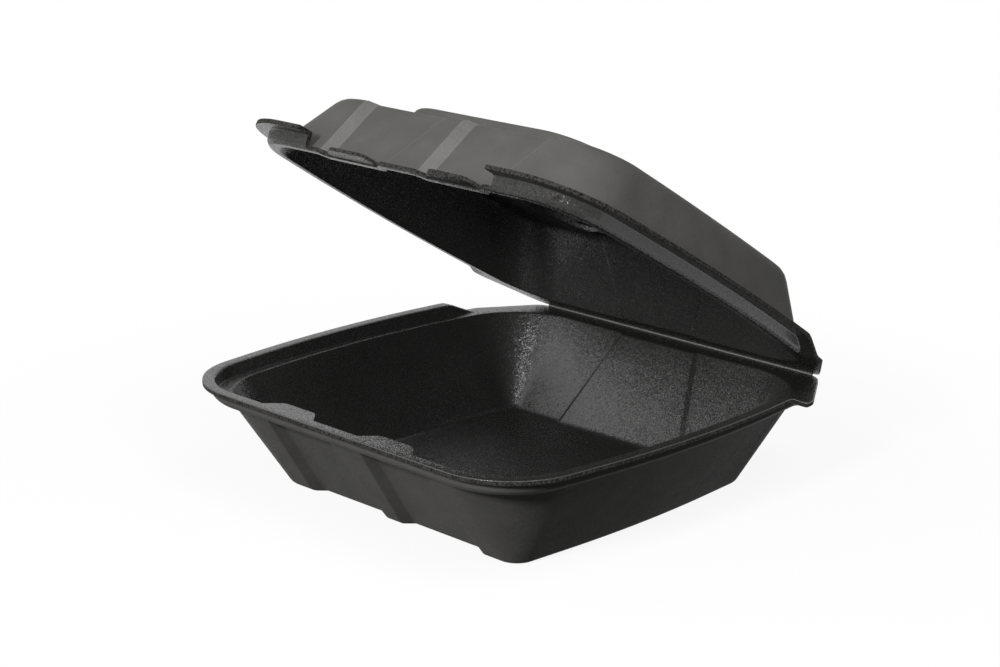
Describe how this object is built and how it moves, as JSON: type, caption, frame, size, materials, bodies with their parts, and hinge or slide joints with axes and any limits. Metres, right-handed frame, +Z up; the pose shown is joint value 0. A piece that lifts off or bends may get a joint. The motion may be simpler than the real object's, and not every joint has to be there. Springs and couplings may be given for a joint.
{
  "type": "hinged foam food container",
  "caption": "Square hinged foam take-away container: deep tray, shallower lid on a living hinge, stepped rim and front catches.",
  "frame": {"origin": "middle of the tray's floor, on its underside", "axes": "+X to the right along the hinge, +Y to the back where the hinge is, +Z up"},
  "size_m": [0.235, 0.2391, 0.1823],
  "materials": {
    "black_foam": "satin foamed polystyrene with a fine cell grain"
  },
  "bodies": {
    "tray": {"tray": "black_foam"},
    "lid": {"lid": "black_foam"}
  },
  "joints": [
    {"name": "lid_hinge", "type": "hinge", "parent": "tray", "child": "lid", "pos_m": [0, 0.1177, 0.04755], "axis": [-1, 0, 0], "range_deg": [-30.5, 149.5]}
  ]
}
